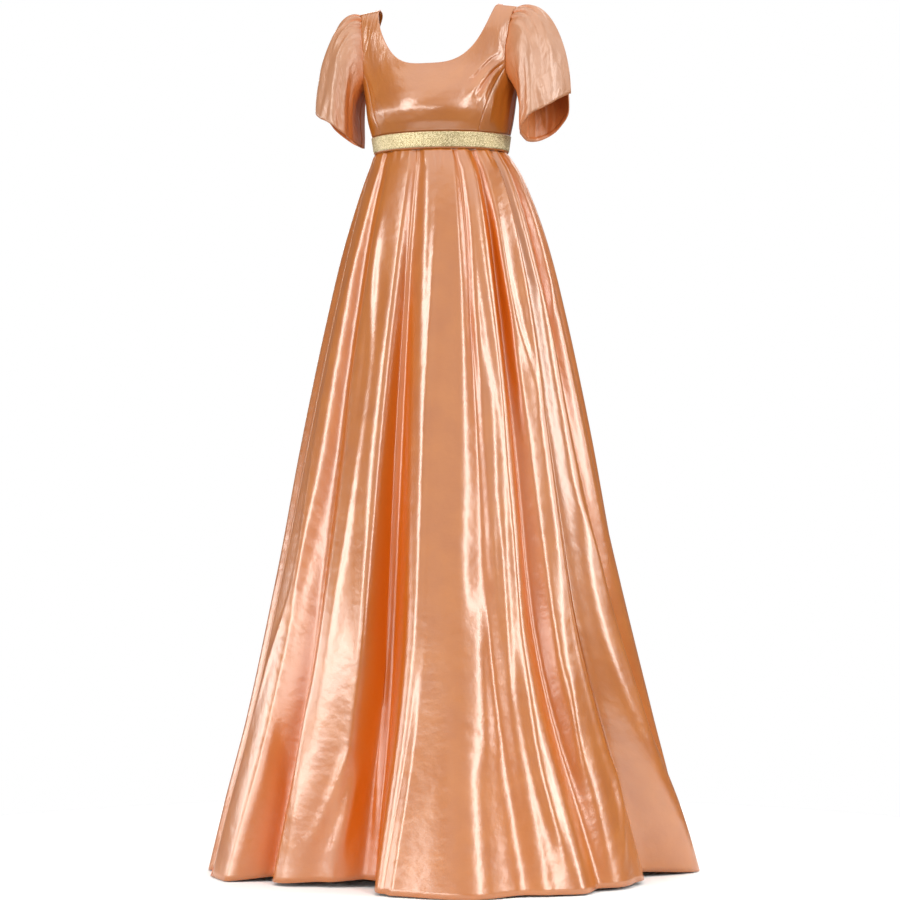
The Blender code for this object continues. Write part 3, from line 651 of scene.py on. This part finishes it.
# Ridges and troughs that show in the front view: height and half width in mm, then points given as the
# percent of the way across the skirt that the front view shows, from its left, and the drop.
SEEN_CREASES = (
    (2.0, 9.0, (2.5, 0.270), (6.0, 0.440), (5.0, 0.535), (5.2, 0.730), (6.4, 0.950), (3.0, 1.118),
     (0.9, 1.340)),
    (4.0, 14.0, (12.0, 0.300), (15.0, 0.405), (14.5, 0.550), (14.0, 0.760)),
    (-4.0, 14.0, (9.5, 0.720), (8.0, 1.000), (7.5, 1.180), (9.0, 1.400)),
    (2.2, 8.0, (14.0, 0.290), (17.0, 0.450), (20.9, 0.630), (20.2, 0.760), (19.0, 0.928), (16.0, 1.250)),
    (3.0, 12.0, (12.4, 1.080), (13.6, 1.250), (13.8, 1.440)),
    (5.0, 17.0, (26.0, 0.320), (27.0, 0.470), (26.0, 0.600), (25.5, 0.760), (26.5, 0.930), (28.0, 1.200)),
    (3.0, 12.0, (27.5, 1.000), (29.0, 1.118), (29.0, 1.440)),
    (1.6, 8.0, (33.4, 0.250), (34.0, 0.405), (35.0, 0.535), (36.0, 0.667), (38.0, 0.900), (38.6, 1.090)),
    (2.0, 7.0, (46.5, 0.250), (44.5, 0.405), (43.0, 0.535), (42.2, 0.700), (42.0, 0.900), (41.0, 1.230)),
    (3.0, 16.0, (59.0, 0.300), (58.5, 0.470), (59.0, 0.640), (58.4, 0.800), (59.0, 0.980)),
    (3.0, 11.0, (61.0, 0.380), (62.5, 0.535), (65.4, 0.690), (64.0, 0.860), (60.5, 0.980)),
    (1.6, 6.0, (65.8, 0.800), (65.2, 0.980), (64.9, 1.160)),
    (4.5, 17.0, (60.0, 0.940), (58.0, 1.090), (58.5, 1.290)),
    (4.0, 12.0, (67.0, 0.250), (66.8, 0.370), (69.0, 0.570), (71.4, 0.780), (70.0, 0.928), (68.5, 1.120)),
    (3.5, 12.0, (68.6, 1.040), (69.6, 1.220), (74.0, 1.440)),
    (-3.5, 12.0, (72.5, 0.270), (72.5, 0.400), (73.5, 0.560), (76.0, 0.770), (76.0, 0.930), (75.0, 1.150)),
    (2.5, 9.0, (78.5, 0.280), (76.2, 0.430), (78.0, 0.535), (80.5, 0.600), (82.6, 0.700)),
    (3.5, 13.0, (86.0, 0.280), (85.0, 0.430), (84.0, 0.600), (82.0, 0.700), (82.0, 0.900), (80.0, 1.120)),
    (2.0, 8.0, (88.4, 0.280), (89.6, 0.420), (91.5, 0.520), (93.4, 0.720)),
    (1.6, 7.0, (97.0, 0.270), (96.8, 0.460), (94.0, 0.560)),
    (4.0, 13.0, (88.6, 0.760), (92.4, 0.880), (94.4, 0.990), (96.0, 1.150), (98.0, 1.330)),
    (3.5, 13.0, (90.5, 1.220), (90.0, 1.330), (87.0, 1.440)),
    (2.0, 11.0, (80.5, 1.080), (80.4, 1.190), (81.0, 1.300)),
    (3.0, 8.0, (24.6, 1.220), (20.5, 1.310), (15.2, 1.420)),
    (-2.4, 7.0, (25.0, 1.240), (22.6, 1.320), (18.4, 1.420)),
    (2.6, 8.0, (25.4, 1.240), (23.8, 1.330), (21.4, 1.430)),
    (1.0, 5.0, (52.0, 1.175), (55.0, 1.190), (58.0, 1.204)),
    (-1.0, 5.0, (52.5, 1.190), (55.0, 1.204), (58.5, 1.218)),
    (1.0, 5.0, (53.0, 1.205), (55.5, 1.218), (58.0, 1.232)),
)
# Creases on the sides and back: height and half width in mm, then points as turn and drop.
HIDDEN_CREASES = (
    (2.2, 18.1, (106.0, 0.260), (108.0, 0.500), (117.0, 0.920)),
    (2.9, 21.7, (118.0, 0.900), (128.0, 1.200), (138.0, 1.430)),
    (2.1, 14.4, (128.0, 0.250), (129.0, 0.420), (133.0, 0.700)),
    (2.4, 21.7, (134.0, 0.640), (139.0, 0.980), (152.0, 1.360)),
    (-2.1, 18.1, (145.0, 0.300), (147.0, 0.520), (150.0, 0.800)),
    (2.2, 16.1, (151.0, 0.250), (152.0, 0.460), (155.0, 0.760)),
    (4.2, 13.3, (156.0, 0.740), (160.0, 1.060), (169.0, 1.420)),
    (2.1, 14.4, (166.0, 0.270), (168.0, 0.400), (173.0, 0.560)),
    (2.4, 18.1, (174.0, 0.520), (178.0, 0.900), (186.0, 1.400)),
    (2.1, 14.4, (195.0, 0.250), (196.0, 0.480), (198.0, 0.840)),
    (2.9, 21.7, (199.0, 0.800), (202.0, 1.140), (204.0, 1.420)),
    (-2.1, 18.1, (201.0, 0.300), (202.0, 0.520), (204.0, 0.780)),
    (2.2, 18.1, (217.0, 0.260), (218.0, 0.560), (220.0, 0.940)),
    (3.8, 13.3, (219.0, 0.900), (222.0, 1.160), (223.0, 1.430)),
    (2.1, 14.4, (240.0, 0.250), (241.0, 0.440), (242.0, 0.720)),
    (2.9, 21.7, (242.0, 0.700), (243.0, 1.020), (243.0, 1.400)),
    (-1.9, 16.1, (247.0, 0.300), (249.0, 0.460), (249.0, 0.700)),
    (2.2, 18.1, (262.0, 0.250), (264.0, 0.520), (265.0, 0.900)),
    (2.4, 21.7, (265.0, 0.860), (265.0, 1.120), (264.0, 1.420)),
    (2.2, 18.1, (282.0, 0.260), (286.0, 0.520), (286.0, 0.960)),
    (2.2, 14.4, (232.0, 1.240), (228.0, 1.320), (222.0, 1.410)),
    (2.2, 14.4, (180.0, 1.250), (175.0, 1.330), (170.0, 1.410)),
    (1.9, 14.4, (122.0, 0.240), (121.0, 0.290), (118.0, 0.360)),
    (1.9, 14.4, (210.0, 0.240), (212.0, 0.300), (216.0, 0.380)),
)
# Small gathers hang from the waist seam all round, once past the right side seam: spacing in degrees, height
# and half width in mm, and length. Each may sway by some degrees, and starts above the seam by a share of
# its length, so that it is at its full height there.
GATHERS_FROM, GATHERS_TO = -62.0, 298.0
GATHER_SPACING = (3.0, 9.0)
GATHER_HEIGHT = (0.5, 1.3)
GATHER_HALF_WIDTH = (1.8, 3.6)
GATHER_LENGTH = (0.012, 0.040)
GATHER_SWAY = 1.5
GATHER_ABOVE = 0.4
SKIRT_HEM = 14.0 * MM
# name, node, fold lines, flat width and length, flat area
SKIRT_PANELS = (
    ("skirt_front_panel", "skirt_front", RIGHT_SEAM, LEFT_SEAM, (1.11, 1.28), 0.79),
    ("skirt_back_left_panel", "skirt_back_left", LEFT_SEAM, BACK_SEAM, (1.03, 1.33), 0.77),
    ("skirt_back_right_panel", "skirt_back_right", BACK_SEAM, RIGHT_SEAM + len(FOLDS), (1.04, 1.30), 0.80),
)


def turn_seen(percent, drop):
    """The turn of a place on the skirt that the front view shows this percent of the way across."""
    look = np.radians(VIEW_ANGLE)
    width, front, back = (float(table_curve(SKIRT, column, drop)) for column in (1, 2, 3))
    spans = [np.hypot(width * np.cos(look), reach * np.sin(look)) for reach in (front, back)]
    leans = [np.degrees(np.arctan2(reach * np.sin(look), width * np.cos(look))) for reach in (front, back)]
    across = lerp(-spans[0], spans[1], percent / 100.0)
    turn = leans[0] + np.degrees(np.arcsin(np.clip(across / spans[0], -1.0, 1.0)))
    if turn > 90.0 or across > spans[0]:
        turn = leans[1] + np.degrees(np.arcsin(np.clip(across / spans[1], -1.0, 1.0)))
    return turn


def skirt_creases():
    seen = [
        (height, width, *[(turn_seen(percent, drop), drop) for percent, drop in route])
        for height, width, *route in SEEN_CREASES
    ]
    return [*seen, *HIDDEN_CREASES, *waist_gathers()]


def waist_gathers():
    chance = np.random.default_rng(12)
    gathers, turn = [], GATHERS_FROM
    while turn < GATHERS_TO:
        turn += chance.uniform(*GATHER_SPACING)
        spans = (GATHER_HEIGHT, GATHER_HALF_WIDTH, GATHER_LENGTH)
        height, width, length = (chance.uniform(*span) for span in spans)
        sway = chance.uniform(-GATHER_SWAY, GATHER_SWAY)
        top, bottom = BAND_BOTTOM - GATHER_ABOVE * length, BAND_BOTTOM + length
        gathers.append((height, width, (turn, top), (turn + sway, bottom)))
    return gathers


def skirt(material):
    creases = skirt_creases()
    for name, node, first, last, flat, area in SKIRT_PANELS:
        points, turn, drop = skirt_grid(first, last)
        metres_per_degree = np.radians((table_curve(SKIRT, 1, drop) + table_curve(SKIRT, 2, drop)) / 2.0)
        lift = crease_lift(creases, turn, drop, metres_per_degree)
        if last > len(FOLDS) - 1:
            lift += crease_lift(creases, turn - 360.0, drop, metres_per_degree)
        points, normals = lifted(points, lift)
        piece = shell(name, sewn_up(points, normals, (0, 1, 2), 3, SKIRT_HEM), material)
        sewn(piece, node)


# Sleeves

# height and half width in mm, then the turn round the sleeve and the share of the way down it
SLEEVE_CREASES = (
    (1.7, 3.0, (8.0, -0.16), (11.0, 0.14), (16.0, 0.42)),
    (-1.4, 2.6, (15.0, -0.16), (18.0, 0.10), (24.0, 0.34)),
    (1.8, 3.2, (23.0, -0.16), (27.0, 0.14), (36.0, 0.50)),
    (-1.4, 2.6, (31.0, -0.14), (35.0, 0.12), (43.0, 0.36)),
    (1.7, 3.4, (40.0, -0.12), (45.0, 0.16), (55.0, 0.54)),
    (-1.2, 3.0, (50.0, -0.10), (55.0, 0.14), (63.0, 0.40)),
    (1.5, 3.8, (61.0, -0.08), (66.0, 0.22), (74.0, 0.60)),
    (-1.7, 3.2, (-7.0, -0.16), (-8.0, 0.10), (-11.0, 0.34)),
    (1.6, 3.6, (-15.0, -0.16), (-17.0, 0.14), (-22.0, 0.46)),
    (2.4, 9.0, (22.0, 0.26), (34.0, 0.46), (40.0, 0.80)),
    (-1.8, 8.0, (52.0, 0.34), (58.0, 0.60), (62.0, 1.02)),
    (1.6, 6.0, (74.0, 0.30), (80.0, 0.62), (84.0, 1.12)),
    (-1.8, 7.0, (92.0, 0.26), (98.0, 0.60), (104.0, 1.14)),
    (1.8, 6.0, (108.0, 0.20), (116.0, 0.60), (121.0, 1.14)),
    (-1.6, 5.0, (126.0, 0.20), (131.0, 0.55), (134.0, 1.14)),
    (1.5, 5.0, (141.0, 0.15), (144.0, 0.55), (146.0, 1.14)),
    (1.6, 4.0, (70.0, 0.72), (65.0, 0.86), (56.0, 1.12)),
    (-1.4, 4.0, (78.0, 0.74), (73.0, 0.90), (66.0, 1.12)),
    (1.4, 5.0, (205.0, 0.20), (211.0, 0.60), (216.0, 1.14)),
    (-1.4, 6.0, (222.0, 0.15), (229.0, 0.55), (235.0, 1.14)),
    (1.8, 6.0, (240.0, 0.15), (246.0, 0.55), (251.0, 1.14)),
    (-1.4, 6.0, (258.0, 0.15), (262.0, 0.55), (266.0, 1.14)),
    (1.5, 4.0, (300.0, -0.10), (294.0, 0.24), (286.0, 0.62)),
    (1.7, 3.5, (324.0, -0.14), (319.0, 0.20), (309.0, 0.56)),
    (-1.3, 3.0, (334.0, -0.14), (331.0, 0.16), (323.0, 0.42)),
    (1.6, 3.5, (347.0, -0.14), (345.0, 0.18), (338.0, 0.50)),
)
SLEEVE_METRES_PER_DEGREE = 0.95 * MM
SLEEVE_HEM = 7.0 * MM
SLEEVE_MIDDLE = 0.165
STEPS_PER_CAP_COLUMN = 5
ARM_COLUMNS = 55
# The creases are this much weaker where the back petal lies under the front one.
UNDERLAY_CALM = 0.6
# mm towards the armhole's middle and in under the bodice, for each row of the armhole's seam allowance
ALLOWANCE_ROWS = ((2.8, 6.5), (1.9, 2.4))


def petal_turns(first, last, under):
    """Turns of a petal's columns: fine over the cap between the first and last, plainer round the arm."""
    cap_end = CAP_END * CAP_COLUMN
    cap = np.linspace(first, last, STEPS_PER_CAP_COLUMN * round((last - first) / CAP_COLUMN) + 1)
    if under:
        return np.concatenate([np.linspace(180.0, 360.0 - cap_end, ARM_COLUMNS, endpoint=False), cap])
    return np.concatenate([cap, np.linspace(cap_end, 180.0, ARM_COLUMNS + 1)[1:]])


def petal(name, side, form, turns, tip, under, material):
    turn = np.broadcast_to(turns[:, None], (len(turns), SLEEVE_ROWS + 1))
    into_tip = (turn - 360.0 if under else -turn) / (tip * CAP_COLUMN)
    length = lerp(1.0, PETAL_TIP, smoothstep(into_tip))
    share = length * np.linspace(0.0, 1.0, SLEEVE_ROWS + 1)[None, :]
    points = sleeve_form(form, turn, share)
    if side < 0.0:
        points = points * np.array([-1.0, 1.0, 1.0])
    points, turn, share = facing_out(points, (side * SLEEVE_MIDDLE, 0.0, 0.0), turn, share)
    covered = smoothstep((turn - UNDERLAY_STARTS) / (UNDERLAY_FULL - UNDERLAY_STARTS)) * under
    lift = crease_lift(SLEEVE_CREASES, turn, share, SLEEVE_METRES_PER_DEGREE)
    points, normals = lifted(points, lift * (1.0 - covered * UNDERLAY_CALM) - covered * PETAL_UNDERLAY)
    # The underarm seam is the grid's end that doesn't taper to the petal's tip.
    seam = 0 if abs(turn[0, 0] - 180.0) < 1.0 else 1
    points = sewn_up(points, normals, (seam,), 3, SLEEVE_HEM)
    return shell(name, np.concatenate([armhole_allowance(points[:, 0], side), points], axis=1), material)


def armhole_allowance(edge, side):
    """Rows that carry a sleeve's cap on through the armhole seam, under the bodice's edge."""
    inward = np.array([0.0, 0.0, -ARMHOLE_DROP / 2.0]) - edge
    inward[:, 0] = 0.0
    inward, across = unit(inward), np.array([-side, 0.0, 0.0])
    rows = [edge + (inward * down + across * under) * MM for down, under in ALLOWANCE_ROWS]
    return np.stack(rows, axis=1)


def sleeves(material):
    for side_name, side, *form in SLEEVES:
        front = petal_turns(-FRONT_TIP * CAP_COLUMN, CAP_END * CAP_COLUMN, False)
        back = petal_turns(360.0 - CAP_END * CAP_COLUMN, 360.0 + BACK_TIP * CAP_COLUMN, True)
        for kind, turns, tip, under in (("back", back, BACK_TIP, True), ("front", front, FRONT_TIP, False)):
            name = f"{side_name}_{kind}_petal"
            piece = petal(name, side, form, turns, tip, under, material)
            sewn(piece, f"sleeve_{name}")


# Finishes

def linear(hex_colour):
    """A linear colour from an sRGB hex value."""
    parts = [int(hex_colour[i : i + 2], 16) / 255.0 for i in (1, 3, 5)]
    return (*[c / 12.92 if c <= 0.04045 else ((c + 0.055) / 1.055) ** 2.4 for c in parts], 1.0)


def add(tree, kind, settings=(), values=(), links=()):
    """A node with its settings, its sockets' values, and links into its sockets."""
    made = tree.nodes.new(kind)
    for name, value in dict(settings).items():
        setattr(made, name, value)
    for socket, value in dict(values).items():
        made.inputs[socket].default_value = value
    for socket, source in dict(links).items():
        tree.links.new(source, made.inputs[socket])
    return made


def finish(name):
    """A new material with only its output and a Principled shader."""
    material = bpy.data.materials.new(name)
    material.use_nodes = True
    return material, material.node_tree, material.node_tree.nodes["Principled BSDF"]


def ramp(tree, factor, low, high, start, end):
    """A colour that goes from low to high as the factor goes from start to end."""
    made = add(tree, "ShaderNodeValToRGB", links={"Fac": factor})
    made.color_ramp.elements[0].position, made.color_ramp.elements[0].color = start, low
    made.color_ramp.elements[1].position, made.color_ramp.elements[1].color = end, high
    return made.outputs["Color"]


# sizes in the satin: its drawn floats, the patches where the dye took a little more, the smallest creases, and
# how near cloth has to be for the painted shade in folds
FLOAT_LENGTH = 14.0 * MM
FLOAT_SPACING = 1.2 * MM
FLOAT_HEIGHT = 0.05 * MM
DYE_PATCH = 55.0 * MM
CRUMPLE_SIZE = 24.0 * MM
PAINTED_SHADE_REACH = 0.24
FLAKE_SIZE = 0.9 * MM
FLAKE_HEIGHT = 0.3 * MM


def satin(name, painted_fold_shade, deep, pale, roughness, crumple, painted_shade_own_folds_only=False):
    """Polyester satin, woven with long floats: a whitish shine lies over a deep apricot. Floats are 0.25 mm
    apart, too fine to show, so their streaks are drawn 1.2 mm apart. Down in a fold, where ambient occlusion
    finds cloth near, a stronger orange is painted in as painted shade and the shine is turned down. The floats
    lie flat and mirror more than plain polyester, so the IOR is high. Crumple is the depth of the smallest
    creases in mm, and painted_shade_own_folds_only says that only the piece's own folds give it painted shade."""
    material, tree, shader = finish(name)
    cloth = add(tree, "ShaderNodeUVMap", {"uv_map": "cloth"}).outputs["UV"]
    float_size = (1.0 / FLOAT_LENGTH, 1.0 / FLOAT_SPACING, 1.0)
    floats = add(tree, "ShaderNodeMapping", values={"Scale": float_size}, links={"Vector": cloth})
    streak = add(
        tree, "ShaderNodeTexNoise", values={"Scale": 1.0, "Detail": 2.0},
        links={"Vector": floats.outputs["Vector"]},
    ).outputs["Fac"]
    patches = add(
        tree, "ShaderNodeTexNoise", values={"Scale": 1.0 / DYE_PATCH, "Detail": 2.0}, links={"Vector": cloth},
    ).outputs["Fac"]
    mixed = add(tree, "ShaderNodeMath", {"operation": "MULTIPLY_ADD"}, {1: 0.35}, {0: streak, 2: patches})
    colour = ramp(tree, mixed.outputs["Value"], linear(deep), linear(pale), 0.45, 0.9)
    # Painted shade: an ambient occlusion mask mixes the fold colour into the base colour down in folds.
    open_sky = add(
        tree, "ShaderNodeAmbientOcclusion", {"samples": 8, "only_local": painted_shade_own_folds_only},
        {"Distance": PAINTED_SHADE_REACH},
    ).outputs["AO"]
    painted_shade_mask = ramp(tree, open_sky, linear("#000000"), linear("#FFFFFF"), 0.52, 0.99)
    painted_shade_mix = add(tree, "ShaderNodeMix", {"data_type": "RGBA"}, {6: linear(painted_fold_shade)}, {0: painted_shade_mask, 7: colour})
    tree.links.new(painted_shade_mix.outputs[2], shader.inputs["Base Color"])
    # Painted shade: the same mask turns the shine down in folds.
    shine = add(tree, "ShaderNodeMapRange", values={"To Min": 0.12, "To Max": 0.5}, links={"Value": painted_shade_mask})
    tree.links.new(shine.outputs["Result"], shader.inputs["Specular IOR Level"])
    soft = add(
        tree, "ShaderNodeTexNoise", values={"Scale": 1.0 / CRUMPLE_SIZE, "Detail": 3.0, "Roughness": 0.45},
        links={"Vector": cloth},
    ).outputs["Fac"]
    fall = add(
        tree, "ShaderNodeBump", values={"Strength": 1.0, "Distance": crumple * MM}, links={"Height": soft},
    ).outputs["Normal"]
    weave = add(
        tree, "ShaderNodeBump", values={"Strength": 0.35, "Distance": FLOAT_HEIGHT},
        links={"Height": streak, "Normal": fall},
    ).outputs["Normal"]
    tree.links.new(weave, shader.inputs["Normal"])
    shader.inputs["Roughness"].default_value = roughness
    shader.inputs["IOR"].default_value = 2.2
    shader.inputs["Specular Tint"].default_value = linear("#FFF8F1")
    return material


def glitter(name):
    """Ribbon with greenish-gold glitter set in clear glue: each flake is a tiny mirror at its own angle.
    Flakes are 0.4 mm, drawn 0.9 mm wide so that they show. The glue dulls their metal a little."""
    material, tree, shader = finish(name)
    cloth = add(tree, "ShaderNodeUVMap", {"uv_map": "cloth"}).outputs["UV"]
    flakes = add(tree, "ShaderNodeTexVoronoi", values={"Scale": 1.0 / FLAKE_SIZE}, links={"Vector": cloth})
    shade = add(tree, "ShaderNodeSeparateColor", links={"Color": flakes.outputs["Color"]})
    colour = ramp(tree, shade.outputs["Red"], linear("#8C7848"), linear("#E6D6AC"), 0.15, 0.9)
    tree.links.new(colour, shader.inputs["Base Color"])
    bump = add(
        tree, "ShaderNodeBump", values={"Strength": 0.6, "Distance": FLAKE_HEIGHT},
        links={"Height": shade.outputs["Green"]},
    )
    tree.links.new(bump.outputs["Normal"], shader.inputs["Normal"])
    shader.inputs["Metallic"].default_value = 0.55
    shader.inputs["Roughness"].default_value = 0.42
    return material


# Studio

FLOOR_RADIUS = 1.25
FLOOR_GAP = 1.0 * MM
# name, azimuth and elevation from which it is seen, the level that it faces, distance, width, height, and how
# bright its face is
SOFTBOXES = (
    ("left softbox", -37.0, 22.0, -0.8, 4.0, 0.8, 2.6, 10.5),
    ("right softbox", 44.0, 18.0, -0.75, 4.0, 0.7, 2.8, 11.0),
    ("far right softbox", 88.0, 18.0, -0.75, 4.0, 0.9, 2.8, 10.0),
    ("right rim", 110.0, 27.0, -1.1, 4.2, 1.0, 2.2, 4.5),
    ("front fill", 12.0, 24.0, -0.75, 6.0, 4.2, 2.6, 0.8),
    ("bust strip", -24.0, -7.0, -0.16, 5.0, 5.6, 0.55, 10.0),
    ("back fill", 176.0, 38.0, -0.9, 5.0, 4.4, 2.8, 2.8),
    ("back softbox", 205.0, 20.0, -0.75, 4.0, 0.9, 2.6, 8.0),
    ("left bust strip", -84.0, -5.0, -0.16, 5.0, 5.0, 0.5, 8.0),
    ("top fill", 10.0, 78.0, -0.75, 3.6, 5.0, 5.0, 1.5),
)
CAMERA_DISTANCE = 5.0
CAMERA_LEVEL = -0.845
CAMERA_TILT = 91.13
# The camera looks a little to the right of the gown's middle line.
CAMERA_PAN = -0.17
CAMERA_LENS = 118.6


def pale_floor(level_z):
    """A seamless pale studio floor."""
    place = (0.0, 0.0, level_z)
    bpy.ops.mesh.primitive_circle_add(vertices=96, radius=FLOOR_RADIUS, fill_type="NGON", location=place)
    floor = bpy.context.object
    floor.name = "studio_floor"
    material, tree, shader = finish("pale floor")
    grain = add(tree, "ShaderNodeTexNoise", values={"Scale": 3.0})
    colour = ramp(tree, grain.outputs["Fac"], linear("#F6F5F3"), linear("#FAF9F8"), 0.3, 0.7)
    tree.links.new(colour, shader.inputs["Base Color"])
    shader.inputs["Roughness"].default_value = 0.9
    floor.data.materials.append(material)


def softbox(name, azimuth, elevation, level_z, distance, width, height, brightness):
    """A rectangular softbox that faces the gown's middle line at one level, from which it is seen at this
    azimuth (0 is the gown's front) and elevation."""
    light = bpy.data.lights.new(name, "AREA")
    light.shape = "RECTANGLE"
    light.size, light.size_y = width, height
    light.energy = brightness * np.pi * width * height
    box = bpy.data.objects.new(name, light)
    turn, rise = np.radians(azimuth), np.radians(elevation)
    way = Vector((np.sin(turn) * np.cos(rise), -np.cos(turn) * np.cos(rise), np.sin(rise)))
    aim = Vector((0.0, 0.0, level_z))
    box.location = aim + way * distance
    box.rotation_euler = (-way).to_track_quat("-Z", "Y").to_euler()
    box.visible_camera = False
    bpy.context.scene.collection.objects.link(box)


def studio_world(seen, felt):
    """A plain white room to the camera, and a dimmer one to the cloth."""
    world = bpy.data.worlds.new("studio")
    world.use_nodes = True
    tree = world.node_tree
    background = tree.nodes["Background"]
    to_camera = add(tree, "ShaderNodeLightPath").outputs["Is Camera Ray"]
    mix = add(tree, "ShaderNodeMix", {"data_type": "RGBA"}, {6: felt, 7: seen}, {0: to_camera})
    tree.links.new(mix.outputs[2], background.inputs["Color"])
    bpy.context.scene.world = world


def front_camera():
    camera = bpy.data.cameras.new("front view")
    camera.lens = CAMERA_LENS
    view = bpy.data.objects.new("front view", camera)
    turn = np.radians(VIEW_ANGLE)
    view.location = (CAMERA_DISTANCE * np.sin(turn), -CAMERA_DISTANCE * np.cos(turn), CAMERA_LEVEL)
    view.rotation_euler = np.radians((CAMERA_TILT, 0.0, VIEW_ANGLE + CAMERA_PAN))
    bpy.context.scene.collection.objects.link(view)
    bpy.context.scene.camera = view


def main():
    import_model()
    cad_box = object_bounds()
    # The first colour of each satin is painted shade, mixed in down in its folds.
    gown_satin = satin("apricot polyester satin", "#BC560A", "#9C5410", "#A65E16", 0.28, 0.9, painted_shade_own_folds_only=True)
    bodice_satin = satin(
        "apricot satin of the bodice", "#BC560A", "#9A5410", "#A45E16", 0.30, 1.3, painted_shade_own_folds_only=True
    )
    sleeve_satin = satin("pale sleeve satin", "#BE6A34", "#9C643C", "#A87048", 0.42, 2.6)
    centre_front(bodice_satin)
    side_fronts(bodice_satin)
    backs(bodice_satin)
    waistband(gown_satin)
    ribbon(glitter("gold glitter ribbon"))
    skirt(gown_satin)
    sleeves(sleeve_satin)
    pale_floor(cad_box[0][2] - FLOOR_GAP)
    for box in SOFTBOXES:
        softbox(*box)
    studio_world((1.0, 1.0, 1.0, 1.0), (0.2, 0.2, 0.2, 1.0))
    front_camera()
    bpy.context.scene.view_settings.view_transform = "Standard"


main()
